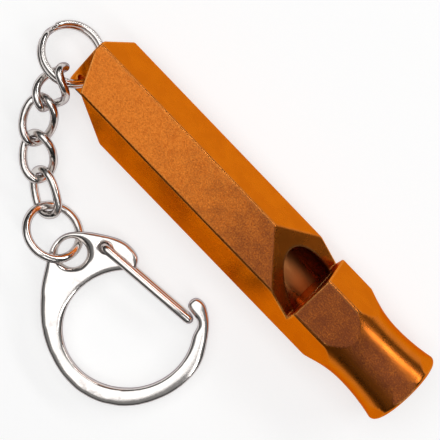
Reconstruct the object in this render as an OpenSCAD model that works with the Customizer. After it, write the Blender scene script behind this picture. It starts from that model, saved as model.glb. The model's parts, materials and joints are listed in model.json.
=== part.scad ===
// Pealess signal whistle turned from hexagonal bar, with a split ring,
// a short curb chain, a jump ring and a snap clip with a spring-wire gate.
// +X runs along the whistle to its mouth, +Z is up, and the whistle lies on one flat at Z = 0.

/* [Hexagonal body] */
// Width of the hexagonal bar across its flats
bar_flats = 12; // [11.5:0.25:12.5]
// Length of the whistle from the ring end to the mouth
body_len = 66; // [65:0.5:68]
// Rounding of the bar's long edges
bar_edge_r = 0.54; // [0.46:0.08:0.54]

/* [Sound chamber] */
// Radius of the drilled bore
bore_r = 4.3; // [4.1:0.1:4.5]
// Offset of the bore's axis towards the window
bore_offset = 0.3; // [0.2:0.05:0.4]
// Distance from the ring end to the closed end of the bore
bore_start = 14.5; // [14:0.5:18]
// Height of the windway between the plug's flat and the bore
windway_h = 1; // [0.8:0.1:1.2]

/* [Window] */
// Distance from the ring end to the start of the ramp
ramp_start = 35.1; // [34:0.1:36]
// Distance from the ring end to the window's square wall
window_wall = 46; // [45.5:0.1:46.5]
// Slope of the ramp below the bar's edge, in degrees
ramp_angle = 28; // [26:0.5:30]

/* [Mouthpiece] */
// Distance from the ring end to where the turned waist starts
waist_start = 51.6; // [51:0.1:52.5]
// Distance from the ring end to the narrowest place of the waist
waist_pos = 58.7; // [58:0.1:59.5]
// Radius of the waist
waist_r = 5.57; // [5.45:0.01:5.7]
// Rounding of the mouth's rim
lip_r = 0.8; // [0.5:0.05:1]

/* [Ring tab] */
// Thickness of the tab from its middle to the face that shows
tab_front = 0.85; // [0.7:0.05:1]
// Thickness of the tab from its middle to the hidden face
tab_back = 1.25; // [1.1:0.05:1.4]
// Radius of the hole for the split ring
ring_hole_r = 1.65; // [1.6:0.05:1.75]

/* [Rings and chain] */
// Outer diameter of the split ring
split_ring_d = 10.1; // [10:0.05:10.2]
// Wire diameter of the split ring
split_wire_d = 0.95; // [0.9:0.05:0.95]
// Outer diameter of the jump ring
jump_ring_d = 9.6; // [9.4:0.1:9.8]
// Wire diameter of the jump ring
jump_wire_d = 1.3; // [1.2:0.05:1.3]
// Outer length of a chain link
link_len = 8.1; // [8:0.05:8.2]
// Outer width of a chain link
link_w = 5.7; // [5.6:0.05:5.9]
// Wire diameter of a chain link
link_wire_d = 1.25; // [1.1:0.05:1.3]

/* [Snap clip] */
// Thickness of the clip's flat body
clip_t = 2; // [1.8:0.1:2]
// Radius of the eye that the jump ring goes through
eye_r = 2; // [1.95:0.05:2.1]
// Wire diameter of the gate
gate_wire_d = 1.3; // [1.2:0.05:1.3]

/* [Hidden] */

$fn = 96;
cut = 0.5;
anodised = "darkorange";
nickel = "silver";

// ---- Vectors ----
function unit(v) = v / norm(v);
function lateral(v) = unit(cross([0, 0, 1], v));

// ---- Whistle body ----
axis_z = bar_flats / 2;
corner_r = bar_flats / sqrt(3);
ring_end = -body_len / 2;
// The window and the tab share one plane of symmetry, through the bar's upper edge on the +Y side
window_az = 30;

// Turns a shape drawn along +Z onto the whistle's axis, its zero at the ring end
module along_bar() {
    translate([ring_end, 0, axis_z]) rotate([90, 0, 90]) children();
}

// Turns a section so that its +Y is the direction in which the window opens
module window_frame() {
    rotate(-window_az) children();
}

// Hexagon with a flat at the top and small arcs for corners
module rounded_hexagon() {
    inner_side = (bar_flats - 2 * bar_edge_r) / sqrt(3);
    for (a = [0, 60, 120]) rotate(a) square([inner_side, bar_flats], center = true);
    circle(inner_side, $fn = 6);
    for (a = [0 : 60 : 300]) rotate(a) translate([inner_side, 0]) circle(bar_edge_r, $fn = 24);
}

// Radius of the turned mouthpiece at a distance from the ring end
function shoulder_r(x) =
    waist_r + (corner_r - waist_r)
    * (1 + cos(180 * pow((x - waist_start) / (waist_pos - waist_start), 0.62))) / 2;
function flare_r(x) = waist_r + pow(x - waist_pos, 2) / 60;
function turned_r(x) = x < waist_pos ? shoulder_r(x) : flare_r(x);

// Solid of revolution that the bar is turned to, with a rounded rim at the mouth
module turned_envelope() {
    lip_start = body_len - lip_r;
    rim = flare_r(lip_start) - lip_r;
    rotate_extrude() polygon(concat(
        [[0, -cut], [corner_r + 1, -cut], [corner_r + 1, waist_start]],
        [for (x = [waist_start : 0.4 : lip_start]) [turned_r(x), x]],
        [for (a = [0 : 15 : 90]) [rim + lip_r * cos(a), lip_start + lip_r * sin(a)]],
        [[0, body_len]]));
}

// Everything that the milling of the window takes away
module window_cut() {
    ramp_len = window_wall - ramp_start;
    window_frame() rotate([90, 0, 90]) linear_extrude(4 * corner_r, center = true) polygon([
        [corner_r, ramp_start],
        [corner_r - ramp_len * tan(ramp_angle), window_wall],
        [corner_r + 3, window_wall],
        [corner_r + 3, ramp_start]]);
}

// The tab: all but a plate is milled away beyond a plane at 45 degrees
tab_top = 6.3;
tab_bottom = -6.4;
tab_corner = 1.6;
module tab_cut() {
    reach = 24;
    window_frame() difference() {
        rotate([90, 0, 90]) linear_extrude(reach, center = true)
            polygon([[tab_top + cut, -cut], [tab_top - reach, reach], [tab_top - reach, -cut]]);
        translate([-tab_back, -reach, -2 * cut]) cube([tab_back + tab_front, 2 * reach, 2 * reach]);
    }
}

// Rounds the tab's free corner
module tab_corner_cut() {
    window_frame() rotate([90, 0, 90]) linear_extrude(3 * corner_r, center = true) difference() {
        translate([tab_bottom - 2, -cut]) square([tab_corner + 2, tab_corner + cut]);
        translate([tab_bottom + tab_corner, tab_corner]) circle(tab_corner);
    }
}

// Middle of the tab's hole: its distance from the ring end, and its place along the window's
// direction and across it
hole_x = 2.35;
hole_u = -2.7;
hole_mid = (tab_front - tab_back) / 2;
module ring_hole() {
    window_frame() translate([0, hole_u, hole_x]) rotate([0, 90, 0])
        cylinder(r = ring_hole_r, h = 3 * corner_r, center = true);
}

module bore() {
    window_frame() translate([0, bore_offset, bore_start])
        cylinder(r = bore_r, h = body_len - bore_start + cut);
}

module whistle_body() {
    color(anodised) along_bar() difference() {
        intersection() {
            linear_extrude(body_len) rounded_hexagon();
            turned_envelope();
        }
        bore();
        window_cut();
        tab_cut();
        tab_corner_cut();
        ring_hole();
    }
}

// Plug pressed into the mouth end; its flat leaves the windway open
module windway_plug() {
    flat = bore_offset + bore_r - windway_h;
    color(anodised) along_bar() window_frame() difference() {
        translate([0, bore_offset, window_wall]) cylinder(r = bore_r, h = body_len - window_wall);
        translate([-corner_r, flat, window_wall - cut]) cube([2 * corner_r, 4, body_len]);
    }
}

// ---- Swept wire ----
// One closed or open tube along points, each ring of it set by the points' tangent and a normal
function ring_at(p, t, n, r, sides) =
    let (side = unit(n - (n * t) * t), up = cross(t, side))
    [for (i = [0 : sides - 1]) p + r * (cos(360 * i / sides) * side + sin(360 * i / sides) * up)];

module tube(path, normals, r, closed, sides = 12) {
    n = len(path);
    tangents = [for (i = [0 : n - 1])
        closed ? unit(path[(i + 1) % n] - path[(i + n - 1) % n])
               : unit(path[min(i + 1, n - 1)] - path[max(i - 1, 0)])];
    points = [for (i = [0 : n - 1]) each ring_at(path[i], tangents[i], normals[i], r, sides)];
    last = closed ? n - 1 : n - 2;
    walls = [for (i = [0 : last], j = [0 : sides - 1])
        let (a = i * sides, b = ((i + 1) % n) * sides, k = (j + 1) % sides)
        each [[a + j, b + j, b + k], [a + j, b + k, a + k]]];
    first_cap = [for (j = [1 : sides - 2]) [0, j, j + 1]];
    end = (n - 1) * sides;
    last_cap = [for (j = [1 : sides - 2]) [end, end + j + 1, end + j]];
    polyhedron(points, closed ? walls : concat(walls, first_cap, last_cap));
}

// ---- Split ring ----
// Direction across the tab, through its hole
tab_across = [0, -cos(window_az), sin(window_az)];
window_up = [0, sin(window_az), cos(window_az)];
hole_centre = [ring_end + hole_x, 0, axis_z] + hole_u * window_up + hole_mid * tab_across;
split_mid_r = (split_ring_d - split_wire_d) / 2;
split_pitch = split_wire_d + 0.04;
// The ring's centre lies a little to the far side of the tab
split_shift = 0.3;
split_centre = hole_centre - [sqrt(pow(split_mid_r, 2) - pow(split_shift, 2)), 0, 0]
             - split_shift * tab_across;
// The jog from one turn to the other, in degrees round the ring from +X
jog_at = 196;
jog_span = 22;
jog_gap = 1.5;

function jog_level(a) =
    let (t = (a - (360 - jog_gap - jog_span)) / jog_span)
    t <= 0 ? -1 : t >= 1 ? 1 : -cos(180 * t);
function split_point(a) =
    split_centre
    + split_mid_r * (cos(a + jog_at) * [1, 0, 0] - sin(a + jog_at) * tab_across)
    + split_pitch / 2 * jog_level(a) * window_up;

module split_ring() {
    turn_end = 720 - 2 * jog_gap - jog_span;
    step = 6;
    stops = [for (a = [0 : step : turn_end]) a];
    color(nickel) tube([for (a = stops) split_point(a)], [for (a = stops) window_up],
                       split_wire_d / 2, false);
}

// ---- Chain ----
// Where each link's middle lies, and the roll of its first and last end about its length
link_mid = [[-33.56, -6.02, 4.91], [-31.74, -10.9, 4.01], [-28.07, -14.7, 3.08], [-23.62, -17.72, 2.17]];
link_roll = [[110, -76], [39, -50], [47, -42], [49, 37]];
// The chain's run enters and leaves at these points on the two rings
chain_in = [-34.5, -3.1, 6];
chain_out = [-18.9, -20.3, 2.4];
link_a = (link_len - link_wire_d) / 2;
link_b = (link_w - link_wire_d) / 2;

function link_dir(i) =
    let (run = concat([chain_in], link_mid, [chain_out]))
    unit(run[i + 2] - run[i]);

// Cosine and sine of a squarish oval, and how far along the link a point lies from 0 to 1
link_square = 2.5;
function squared(v) = sign(v) * pow(abs(v), 2 / link_square);
function along_link(a) = (1 - squared(cos(a))) / 2;

// A link is an oval whose plane rolls evenly from one end to the other
module chain_link(i) {
    dir = link_dir(i);
    side = lateral(dir);
    up = cross(dir, side);
    stops = [for (a = [0 : 9 : 351]) a];
    function roll(a) = link_roll[i][1] + (link_roll[i][0] - link_roll[i][1]) * along_link(a);
    path = [for (a = stops) link_mid[i] + link_a * squared(cos(a)) * dir
        + link_b * squared(sin(a)) * (cos(roll(a)) * side + sin(roll(a)) * up)];
    normals = [for (a = stops) cos(roll(a)) * up - sin(roll(a)) * side];
    color(nickel) tube(path, normals, link_wire_d / 2, true);
}

// ---- Snap clip ----
// The clip's own frame has its origin at the middle of the hook's opening
clip_place = [-0.9, -23, 2.58];
clip_turn = 46;
clip_tilt = 2.2;
eye = [-8, 11.3];
gate_pivot = [-3.3, 12.2];
hook_open = [9.5, 8.75];

module place_clip() {
    translate(clip_place) rotate([0, clip_tilt, 0]) rotate([0, 0, clip_turn]) children();
}

// Smooth curve through points, with so many steps between each pair
function spline_point(a, b, c, d, t) =
    ((2 * b) + (c - a) * t + (2 * a - 5 * b + 4 * c - d) * t * t
    + (3 * b - a - 3 * c + d) * t * t * t) / 2;
function spline(p, steps) =
    let (n = len(p))
    [for (i = [0 : n - 2], s = [0 : steps - 1])
        spline_point(p[max(i - 1, 0)], p[i], p[i + 1], p[min(i + 2, n - 1)], s / steps)];

// From the arm's end over the eye, down the back, round the hook and up to the nose
clip_outline = [[1.3, 9.4], [1.6, 10.5], [0.6, 12.1], [-1.2, 13.3], [-3.8, 14], [-6.6, 14.4],
                [-9.3, 14], [-11.1, 12.2], [-12, 9], [-12.6, 6], [-12.7, 2], [-12.2, -1.3],
                [-10.8, -4.8], [-8.8, -7.7], [-6.4, -9.7], [-3.7, -10.9], [-0.8, -11.4],
                [2.2, -11.1], [4.9, -10.2], [7.1, -9], [9.2, -7.2], [10.6, -5.3], [11.4, -3],
                [11.9, 0.5], [11.7, 2.4], [11.2, 3.9], [10, 4.7], [9, 4.1], [8.7, 3.2],
                [9.4, 2.4], [10.2, 1.2], [10.2, 0.3], [9.6, -0.6]];
module clip_profile() {
    inner = [for (a = [-8 : -6 : -278]) [hook_open[0] * cos(a), hook_open[1] * sin(a)]];
    polygon(concat(spline(clip_outline, 4), inner));
}

countersink = 0.85;
module clip_body() {
    color(nickel) place_clip() difference() {
        linear_extrude(clip_t, center = true) clip_profile();
        translate(eye) cylinder(r = eye_r, h = clip_t + 1, center = true);
        for (s = [0, 1]) mirror([0, 0, s]) translate([eye[0], eye[1], clip_t / 2 - countersink])
            cylinder(r1 = eye_r, r2 = eye_r + countersink, h = countersink + 0.001);
        translate(gate_pivot) cylinder(r = gate_wire_d / 2 + 0.05, h = clip_t + 1, center = true);
    }
}

// ---- Gate ----
// One length of spring wire: two legs beside the body, their ends bent into its hole
gate_leg_z = clip_t / 2 + gate_wire_d / 2 + 0.05;
gate_end = [8.95, 1.5];

module clip_gate() {
    r = gate_wire_d / 2;
    run = unit(gate_end - gate_pivot);
    bend = 0.75;
    near = [for (a = [0 : 15 : 90])
        concat(gate_pivot + bend * (1 - cos(a)) * run, gate_leg_z - bend * (1 - sin(a)))];
    far_r = gate_leg_z;
    far_mid = gate_end - far_r * run * 0.45;
    far = [for (a = [75 : -15 : -75])
        concat(far_mid + far_r * 0.45 * cos(a) * run, far_r * sin(a))];
    top_leg = concat([concat(gate_pivot, 0.15)], near);
    half_back = [for (i = [len(top_leg) - 1 : -1 : 0])
        [top_leg[i][0], top_leg[i][1], -top_leg[i][2]]];
    path = concat(top_leg, far, half_back);
    across = [-run[1], run[0], 0];
    color(nickel) place_clip() tube(path, [for (p = path) across], r, false);
}

// ---- Jump ring ----
jump_mid_r = (jump_ring_d - jump_wire_d) / 2;
jump_centre = [-18.7, -20.8, 3.15];
jump_tilt = -37;
// The ring's joint, in degrees, and its place, under the clip's plate
jump_gap = 1.2;
jump_gap_at = 35;
module jump_ring() {
    color(nickel) translate(jump_centre) rotate([jump_tilt, 0, 0]) rotate(jump_gap_at)
        rotate_extrude(angle = 360 - jump_gap) translate([jump_mid_r, 0]) circle(jump_wire_d / 2);
}

whistle_body();
windway_plug();
split_ring();
chain_link(0);  // chain_link_1
chain_link(1);  // chain_link_2
chain_link(2);  // chain_link_3
chain_link(3);  // chain_link_4
jump_ring();
clip_body();
clip_gate();
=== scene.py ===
"""Looks of the training whistle, its split ring, chain, jump ring and snap clip.

Every visible piece is made from a CAD node's own surface: wires are turned into smooth tubes,
and the machined and cast pieces get rounded edges. All finishes are procedural.
"""
import json
import math

import bmesh
import bpy
from mathutils import Matrix, Vector


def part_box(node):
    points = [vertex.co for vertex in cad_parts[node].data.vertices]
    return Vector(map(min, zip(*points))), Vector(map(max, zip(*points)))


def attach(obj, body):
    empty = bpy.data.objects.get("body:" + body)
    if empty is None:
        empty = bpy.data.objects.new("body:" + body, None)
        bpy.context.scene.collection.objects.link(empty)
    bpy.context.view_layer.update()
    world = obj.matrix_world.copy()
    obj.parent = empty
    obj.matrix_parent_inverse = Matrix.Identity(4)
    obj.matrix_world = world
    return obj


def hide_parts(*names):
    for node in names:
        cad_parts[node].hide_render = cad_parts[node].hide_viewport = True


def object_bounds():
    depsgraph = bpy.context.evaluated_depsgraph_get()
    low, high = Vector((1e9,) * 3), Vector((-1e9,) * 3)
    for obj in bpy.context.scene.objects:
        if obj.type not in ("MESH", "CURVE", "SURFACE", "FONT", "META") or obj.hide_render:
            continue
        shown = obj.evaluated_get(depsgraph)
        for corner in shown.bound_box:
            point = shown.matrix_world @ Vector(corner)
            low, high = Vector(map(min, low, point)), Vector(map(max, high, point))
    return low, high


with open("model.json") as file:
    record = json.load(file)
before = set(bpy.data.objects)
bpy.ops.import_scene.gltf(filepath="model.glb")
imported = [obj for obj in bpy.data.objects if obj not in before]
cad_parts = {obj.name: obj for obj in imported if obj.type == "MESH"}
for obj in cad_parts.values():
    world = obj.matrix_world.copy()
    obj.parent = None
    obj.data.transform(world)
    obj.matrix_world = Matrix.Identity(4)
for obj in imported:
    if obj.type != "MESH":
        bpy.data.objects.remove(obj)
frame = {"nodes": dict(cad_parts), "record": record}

CAD_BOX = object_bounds()
BODIES = frame["record"]["behaviour"]["bodies"]
NODE_BODY = {node: body for body, nodes in BODIES.items() for node in nodes}
MM = 0.001

# ---- Sizes that the CAD meshes don't tell ----
# Along the whistle, measured back from its mouth: where its flats run out into the turned waist,
# and where drawn lines fade out and turned rings have taken over
TURNED_LENGTH = 14.6 * MM
DRAWN_LENGTH = 14 * MM
RINGED_LENGTH = 12 * MM
# The bore lies within this radius of the whistle's middle axis, and past this distance from the
# ring end, and its colour sets in softly at both
BORE_REACH = 4.8 * MM
BORE_START = 14 * MM
RADIUS_FADE = 0.1 * MM
START_FADE = 0.4 * MM
# Widths of the broken edges
BODY_BREAK = 0.24 * MM
PLUG_BREAK = 0.08 * MM
# The top is blotched with brown, more so from the first of these, measured from the ring end, to
# the second, measured back from the mouth; this growth of the brown is painted shade
BROWNING_AND_SHADE_START = 8 * MM
BROWNING_AND_SHADE_END = 18 * MM
# Thicknesses of the wires, and the number of sides that each has as a CAD tube
SPLIT_RING_WIRE_D = 0.95 * MM
LINK_WIRE_D = 1.25 * MM
GATE_WIRE_D = 1.3 * MM
TUBE_SIDES = 12
LINK_COUNT = 4


# ---- Camera ----
FIELD_OF_VIEW = math.radians(13.8)
CAMERA_PLACE = Vector((-21.5, 12.3, 266)) * MM
CAMERA_TARGET = Vector((-3.35, -2.0, 6)) * MM
CAMERA_RIGHT = Vector((0.6934, 0.7206, 0))


def make_camera():
    """Looks down on the whistle, which runs from the upper left to the lower right."""
    data = bpy.data.cameras.new("camera")
    data.sensor_width = 36
    data.lens = data.sensor_width / 2 / math.tan(FIELD_OF_VIEW / 2)
    data.clip_start = 0.01
    camera = bpy.data.objects.new("camera", data)
    bpy.context.scene.collection.objects.link(camera)
    back = (CAMERA_PLACE - CAMERA_TARGET).normalized()
    right = (CAMERA_RIGHT - CAMERA_RIGHT.dot(back) * back).normalized()
    axes = Matrix((right, back.cross(right), back)).transposed()
    camera.matrix_world = Matrix.Translation(CAMERA_PLACE) @ axes.to_4x4()
    bpy.context.scene.camera = camera


# ---- Shader helpers ----
class Shader:
    """A material with a Principled shader, and short calls that add nodes to it."""

    def __init__(self, name, **settings):
        self.material = bpy.data.materials.new(name)
        self.material.use_nodes = True
        self.tree = self.material.node_tree
        self.surface = self.tree.nodes["Principled BSDF"]
        for key, value in settings.items():
            self.surface.inputs[key.replace("_", " ")].default_value = value
        self.coordinates = self.tree.nodes.new("ShaderNodeTexCoord")

    def link(self, source, target):
        self.tree.links.new(source, target)

    def add(self, kind, **settings):
        node = self.tree.nodes.new("ShaderNode" + kind)
        for key, value in settings.items():
            setattr(node, key, value)
        return node

    def noise(self, size, detail=3, roughness=0.5, stretch=(1, 1, 1)):
        """Noise whose features are about size metres across, longer by stretch on each axis."""
        mapping = self.add("Mapping")
        mapping.inputs["Scale"].default_value = [1 / (size * factor) for factor in stretch]
        self.link(self.coordinates.outputs["Object"], mapping.inputs["Vector"])
        node = self.add("TexNoise")
        node.inputs["Scale"].default_value = 1
        node.inputs["Detail"].default_value = detail
        node.inputs["Roughness"].default_value = roughness
        self.link(mapping.outputs["Vector"], node.inputs["Vector"])
        return node.outputs["Fac"]

    def remap(self, value, low, high, out_low, out_high):
        """The value, taken from low..high to out_low..out_high and held there."""
        node = self.add("MapRange", interpolation_type="SMOOTHSTEP")
        for key, number in zip(("From Min", "From Max", "To Min", "To Max"),
                               (low, high, out_low, out_high)):
            node.inputs[key].default_value = number
        self.link(value, node.inputs["Value"])
        return node.outputs["Result"]

    def math(self, operation, first, second):
        node = self.add("Math", operation=operation)
        for socket, value in zip(node.inputs, (first, second)):
            if isinstance(value, (int, float)):
                socket.default_value = value
            else:
                self.link(value, socket)
        return node.outputs["Value"]

    def mix(self, factor, first, second):
        """Colour between two colours, each a tuple or a socket."""
        node = self.add("MixRGB")
        self.link(factor, node.inputs["Fac"])
        for key, value in (("Color1", first), ("Color2", second)):
            if isinstance(value, tuple):
                node.inputs[key].default_value = (*value, 1)
            else:
                self.link(value, node.inputs[key])
        return node.outputs["Color"]

    def axis(self, output, letter):
        """One component of a texture coordinate output such as Object or Normal."""
        node = self.add("SeparateXYZ")
        self.link(self.coordinates.outputs[output], node.inputs["Vector"])
        return node.outputs[letter]

    def edges(self, radius):
        """1 on edges and corners and 0 on flats, from the turn of the normal within a radius."""
        flat_cosine = 0.998
        edge_cosine = 0.95
        bevel = self.add("Bevel", samples=4)
        bevel.inputs["Radius"].default_value = radius
        surface = self.add("NewGeometry")
        dot = self.add("VectorMath", operation="DOT_PRODUCT")
        self.link(bevel.outputs["Normal"], dot.inputs[0])
        self.link(surface.outputs["Normal"], dot.inputs[1])
        return self.remap(dot.outputs["Value"], flat_cosine, edge_cosine, 0, 1)

    def inside_bore(self, ring_end, axis_height):
        """1 in the drilled bore, which runs along the whistle from its blind end to the mouth."""
        mapping = self.add("Mapping")
        mapping.inputs["Scale"].default_value = (0, 1, 1)
        mapping.inputs["Location"].default_value = (0, 0, -axis_height)
        self.link(self.coordinates.outputs["Object"], mapping.inputs["Vector"])
        radius = self.add("VectorMath", operation="LENGTH")
        self.link(mapping.outputs["Vector"], radius.inputs[0])
        inner = BORE_REACH - RADIUS_FADE
        outer = BORE_REACH + RADIUS_FADE
        near = self.remap(radius.outputs["Value"], inner, outer, 1, 0)
        start = ring_end + BORE_START
        past_end = self.remap(self.axis("Object", "X"), start, start + START_FADE, 0, 1)
        return self.math("MULTIPLY", near, past_end)

    def bump(self, height, depth, below=None):
        """Normal from a height of depth metres, over another normal if below is given."""
        node = self.add("Bump")
        node.inputs["Distance"].default_value = depth
        self.link(height, node.inputs["Height"])
        if below:
            self.link(below, node.inputs["Normal"])
        return node.outputs["Normal"]

    def finish(self, colour=None, roughness=None, normal=None):
        for key, value in (("Base Color", colour), ("Roughness", roughness), ("Normal", normal)):
            if value:
                self.link(value, self.surface.inputs[key])
        return self.material


# ---- Finishes ----
ORANGE = (0.66, 0.172, 0.020)
DEEP_ORANGE = (0.50, 0.115, 0.012)
BRIGHT_ORANGE = (0.80, 0.25, 0.035)
# Bright orange of the broken edges: partly edge wear, partly painted highlight
WORN_AND_HIGHLIGHT_ORANGE = (0.95, 0.45, 0.12)
# Brown of the specks on the top; more of it towards the mouth is painted shade
SPECK_AND_SHADE_BROWN = (0.17, 0.045, 0.016)
# Colour of the bore: painted shade, a darker brown for the shaded recess
BORE_SHADE_BROWN = (0.42, 0.17, 0.055)
ORANGE_AT_EDGE = (0.80, 0.38, 0.14, 1)
NICKEL = (0.72, 0.68, 0.65)
DULL_NICKEL = (0.50, 0.455, 0.445)
NICKEL_AT_EDGE = (0.32, 0.26, 0.30, 1)
FLOOR_GREY = (0.50, 0.50, 0.50, 1)
FLOOR_GLOW = 0.60


def anodised_aluminium(name, ring_end, mouth_end, axis_height):
    """Orange anodising: blasted and mottled on the flat that faces up, with painted shade that browns
    it towards the mouth, drawn along the other flats, turned with fine rings near the mouth, and a
    browner colour in the bore that is painted shade."""
    shader = Shader(name, Metallic=1.0, Specular_Tint=ORANGE_AT_EDGE)
    along = shader.axis("Object", "X")
    upward = shader.remap(shader.axis("Normal", "Z"), 0.88, 0.98, 0, 1)
    turned = shader.remap(along, mouth_end - DRAWN_LENGTH, mouth_end - RINGED_LENGTH, 0, 1)
    cloud = shader.noise(2.4 * MM, detail=4)
    grain = shader.noise(0.27 * MM, detail=5, roughness=0.7)
    specks = shader.noise(0.24 * MM, detail=4, roughness=0.7)
    drawn = shader.noise(0.12 * MM, detail=3, stretch=(30, 1, 1))
    rings = shader.noise(0.16 * MM, detail=2, stretch=(1, 60, 60))

    # Painted shade: the brown specks grow denser along the top towards the mouth and stand in for the
    # dimmer light there; the specks themselves are real mottling
    browning_and_painted_shade = shader.remap(along, ring_end + BROWNING_AND_SHADE_START, mouth_end - BROWNING_AND_SHADE_END, 0.10, 0.62)
    browning_and_painted_shade = shader.math("ADD", browning_and_painted_shade, shader.remap(cloud, 0.35, 0.65, -0.05, 0.05))
    mottled = shader.mix(shader.remap(grain, 0.30, 0.70, 0, 1), DEEP_ORANGE, BRIGHT_ORANGE)
    speck_share = shader.math("SUBTRACT", shader.math("ADD", browning_and_painted_shade, 0.5), specks)
    mottled = shader.mix(shader.remap(speck_share, 0.05, 0.75, 0, 1), mottled, SPECK_AND_SHADE_BROWN)
    plain = shader.mix(shader.remap(cloud, 0.3, 0.7, 0, 0.30), ORANGE, DEEP_ORANGE)
    colour = shader.mix(upward, plain, mottled)
    # Painted highlight, partly edge wear: edges and corners are lightened to a bright orange,
    # standing in for light that catches the rounded edges
    colour = shader.mix(shader.math("MULTIPLY", shader.edges(0.40 * MM), 0.8), colour, WORN_AND_HIGHLIGHT_ORANGE)
    # Painted shade: the bore is given a darker brown so that it reads as a shaded recess
    bored = shader.inside_bore(ring_end, axis_height)
    colour = shader.mix(bored, colour, BORE_SHADE_BROWN)

    smooth = shader.remap(cloud, 0.3, 0.7, 0.25, 0.29)
    coarse = shader.remap(grain, 0.3, 0.7, 0.34, 0.46)
    coarsening = shader.math("MULTIPLY", upward, shader.math("SUBTRACT", coarse, smooth))
    roughness = shader.math("ADD", smooth, coarsening)

    drawn_share = shader.math("MULTIPLY", drawn, shader.math("SUBTRACT", 1, turned))
    lines = shader.math("ADD", drawn_share, shader.math("MULTIPLY", rings, turned))
    normal = shader.bump(lines, 0.005 * MM)
    blasted = shader.math("MULTIPLY", upward, shader.math("SUBTRACT", 1, bored))
    normal = shader.bump(shader.math("MULTIPLY", specks, blasted), 0.075 * MM, normal)
    return shader.finish(colour, roughness, normal)


def nickel_plate(name, wave_size, wave_depth, roughness, scratch_depth=0.0012 * MM):
    """Bright nickel with soft waves, hairline scratches, pits, and duller plating in patches."""
    shader = Shader(name, Metallic=1.0, Specular_Tint=NICKEL_AT_EDGE)
    patches = shader.noise(1.7 * MM, detail=4, roughness=0.6)
    waves = shader.noise(wave_size, detail=2)
    scratches = shader.noise(0.06 * MM, detail=2, stretch=(1, 14, 5))
    pits = shader.noise(0.11 * MM, detail=3)
    colour = shader.mix(shader.remap(patches, 0.52, 0.72, 0, 0.5), NICKEL, DULL_NICKEL)
    gloss = shader.math("ADD", shader.remap(patches, 0.35, 0.7, roughness, roughness + 0.10),
                        shader.remap(scratches, 0.60, 0.75, 0, 0.10))
    normal = shader.bump(waves, wave_depth)
    normal = shader.bump(shader.math("ADD", pits, scratches), scratch_depth, normal)
    return shader.finish(colour, gloss, normal)


def pale_floor():
    """Near-white matt board with a faint glow of its own, like a lit table, and a fine tooth."""
    shader = Shader("pale_floor", Roughness=0.7, Base_Color=FLOOR_GREY,
                    Emission_Color=(1, 1, 1, 1), Emission_Strength=FLOOR_GLOW)
    tooth = shader.noise(0.8 * MM, detail=3)
    return shader.finish(normal=shader.bump(tooth, 0.01 * MM))


# ---- Pieces ----
def welded(node):
    """A copy of a CAD node's surface with its loose corners joined, as a bmesh."""
    join_within = 1e-7
    surface = bmesh.new()
    surface.from_mesh(frame["nodes"][node].data)
    bmesh.ops.remove_doubles(surface, verts=surface.verts, dist=join_within)
    return surface


def piece_from(surface, node, material):
    """The visible piece that stands for a CAD node, smooth, on the node's own body."""
    mesh = bpy.data.meshes.new(node + "_surface")
    surface.to_mesh(mesh)
    surface.free()
    mesh.shade_smooth()
    mesh.materials.append(material)
    piece = bpy.data.objects.new(node + "_piece", mesh)
    bpy.context.scene.collection.objects.link(piece)
    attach(piece, NODE_BODY[node])
    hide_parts(node)
    return piece


def join_quads(surface):
    """Joins pairs of triangles into the four-sided faces that they were cut from."""
    threshold = math.radians(60)
    bmesh.ops.join_triangles(surface, faces=surface.faces, angle_face_threshold=threshold,
                             angle_shape_threshold=threshold)


# A subdivided tube draws in to this part of the radius of its corners
TUBE_DRAW_IN = (4 + 2 * math.cos(2 * math.pi / TUBE_SIDES)) / 6


def smooth_wire(node, wire_d, material):
    """A swept wire, subdivided to a round one of the same thickness."""
    surface = welded(node)
    join_quads(surface)
    piece = piece_from(surface, node, material)
    swell = piece.modifiers.new("swell", "DISPLACE")
    swell.strength = wire_d / 2 * (1 / TUBE_DRAW_IN - 1)
    swell.mid_level = 0
    rounder = piece.modifiers.new("rounder", "SUBSURF")
    rounder.levels = 2
    rounder.render_levels = 2
    return piece


# Edges that turn more than SHARP are rounded, and those that turn less than FLAT are dissolved
SHARP = math.radians(22)
FLAT = math.radians(0.6)
# Edges that come this near to the surface that the object lies on count as part of it
REST_MARGIN = 0.02 * MM


def machined_piece(node, material, width, segments, turned_from):
    """A machined piece with its sharp edges broken by a small radius. Edges stay as they are past
    turned_from, where the flats run out smoothly by themselves, and on the rest surface."""
    surface = welded(node)
    bmesh.ops.dissolve_limit(surface, angle_limit=FLAT, verts=surface.verts, edges=surface.edges)
    join_quads(surface)
    weight = surface.edges.layers.float.new("bevel_weight_edge")
    for edge in surface.edges:
        reach = max(vertex.co.x for vertex in edge.verts)
        lowest = min(vertex.co.z for vertex in edge.verts) - CAD_BOX[0][2]
        rounded = edge.calc_face_angle(0) > SHARP and reach < turned_from and lowest > REST_MARGIN
        edge[weight] = float(rounded)
    piece = piece_from(surface, node, material)
    rounding = piece.modifiers.new("rounding", "BEVEL")
    rounding.limit_method = "WEIGHT"
    rounding.width = width
    rounding.segments = segments
    rounding.use_clamp_overlap = False
    normals = piece.modifiers.new("normals", "WEIGHTED_NORMAL")
    normals.weight = 90
    return piece


def fine_skin(node, voxel_size, passes, material):
    """A machined or cast piece as a fine even skin, whose edges are rounded by smoothing passes."""
    piece = piece_from(welded(node), node, material)
    skin = piece.modifiers.new("skin", "REMESH")
    skin.mode = "VOXEL"
    skin.voxel_size = voxel_size
    skin.use_smooth_shade = True
    soften = piece.modifiers.new("soften", "SMOOTH")
    soften.factor = 0.5
    soften.iterations = passes
    return piece


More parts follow.
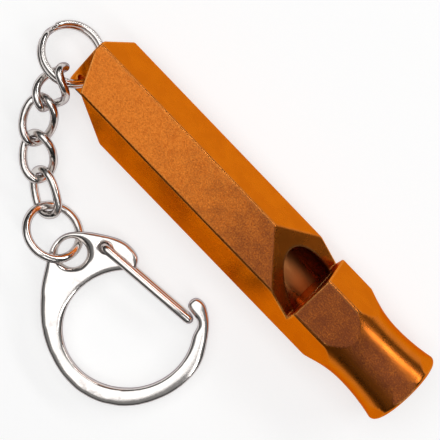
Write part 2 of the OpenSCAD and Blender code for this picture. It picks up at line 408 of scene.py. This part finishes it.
# ---- Studio ----
def make_floor():
    """A plain sheet just under the object, far larger than the view."""
    half = 0.9
    gap = 0.02 * MM
    level = CAD_BOX[0][2] - gap
    mesh = bpy.data.meshes.new("floor_sheet")
    corners = [(-half, -half, level), (half, -half, level), (half, half, level), (-half, half, level)]
    mesh.from_pydata(corners, [], [(0, 1, 2, 3)])
    mesh.materials.append(pale_floor())
    floor = bpy.data.objects.new("floor_sheet", mesh)
    bpy.context.scene.collection.objects.link(floor)


def soft_light(name, place, aim, size, radiance):
    """A rectangular softbox that shines from place to aim, equally bright at any size."""
    data = bpy.data.lights.new(name, "AREA")
    data.shape = "RECTANGLE"
    data.size = size[0]
    data.size_y = size[1]
    data.energy = radiance * math.pi * size[0] * size[1]
    light = bpy.data.objects.new(name, data)
    light.location = place
    light.rotation_euler = (Vector(aim) - Vector(place)).to_track_quat("-Z", "Y").to_euler()
    bpy.context.scene.collection.objects.link(light)


# Each softbox: its name, place, aim and size in metres, and radiance
SOFTBOXES = (
    ("overhead_box", (-0.15, 0.05, 0.50), (-0.15, 0.05, 0), (0.54, 0.50), 1.45),
    ("side_strip", (0.10, 0.42, 0.30), (0, 0, 0), (0.50, 0.07), 6),
    ("end_strip", (0.27, -0.03, 0.38), (0, 0, 0), (0.05, 0.30), 5),
)
# The room goes from its dark grey to its light one as a direction's height goes from low to high
ROOM_HEIGHTS = (0.30, 0.95)
ROOM_GREYS = (0.015, 0.30)


def make_studio():
    """One large box overhead towards the ring end, a bright strip beyond the far side and one
    beyond the mouth, and a room that is dark at the horizon, so that metal gets dark outlines."""
    for softbox in SOFTBOXES:
        soft_light(*softbox)
    world = bpy.data.worlds.new("studio")
    world.use_nodes = True
    nodes = world.node_tree.nodes
    links = world.node_tree.links
    direction = nodes.new("ShaderNodeTexCoord")
    height = nodes.new("ShaderNodeSeparateXYZ")
    shade = nodes.new("ShaderNodeMapRange")
    for key, number in zip(("From Min", "From Max", "To Min", "To Max"), ROOM_HEIGHTS + ROOM_GREYS):
        shade.inputs[key].default_value = number
    links.new(direction.outputs["Generated"], height.inputs["Vector"])
    links.new(height.outputs["Z"], shade.inputs["Value"])
    links.new(shade.outputs["Result"], nodes["Background"].inputs["Color"])
    bpy.context.scene.world = world


# ---- The object in its studio ----
make_camera()
bpy.context.scene.view_settings.view_transform = "Standard"

whistle_low, whistle_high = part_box("whistle_body")
ring_end = whistle_low.x
mouth_end = whistle_high.x
axis_height = (whistle_low.z + whistle_high.z) / 2

body_finish = anodised_aluminium("anodised_orange", ring_end, mouth_end, axis_height)
machined_piece("whistle_body", body_finish, BODY_BREAK, 4, turned_from=mouth_end - TURNED_LENGTH)
plug_finish = anodised_aluminium("anodised_plug_orange", ring_end, mouth_end, axis_height)
machined_piece("windway_plug", plug_finish, PLUG_BREAK, 2, turned_from=mouth_end)

ring_nickel = nickel_plate("ring_nickel", 2.2 * MM, 0.05 * MM, roughness=0.10)
chain_nickel = nickel_plate("chain_nickel", 1.4 * MM, 0.06 * MM, roughness=0.12)
gate_nickel = nickel_plate("gate_nickel", 2.5 * MM, 0.02 * MM, roughness=0.08)
cast_nickel = nickel_plate("cast_nickel", 3.5 * MM, 0.012 * MM, roughness=0.10,
                           scratch_depth=0.002 * MM)
smooth_wire("split_ring", SPLIT_RING_WIRE_D, ring_nickel)
for number in range(1, LINK_COUNT + 1):
    smooth_wire(f"chain_link_{number}", LINK_WIRE_D, chain_nickel)
smooth_wire("clip_gate", GATE_WIRE_D, gate_nickel)
piece_from(welded("jump_ring"), "jump_ring", ring_nickel)
fine_skin("clip_body", voxel_size=0.14 * MM, passes=110, material=cast_nickel)

make_floor()
make_studio()
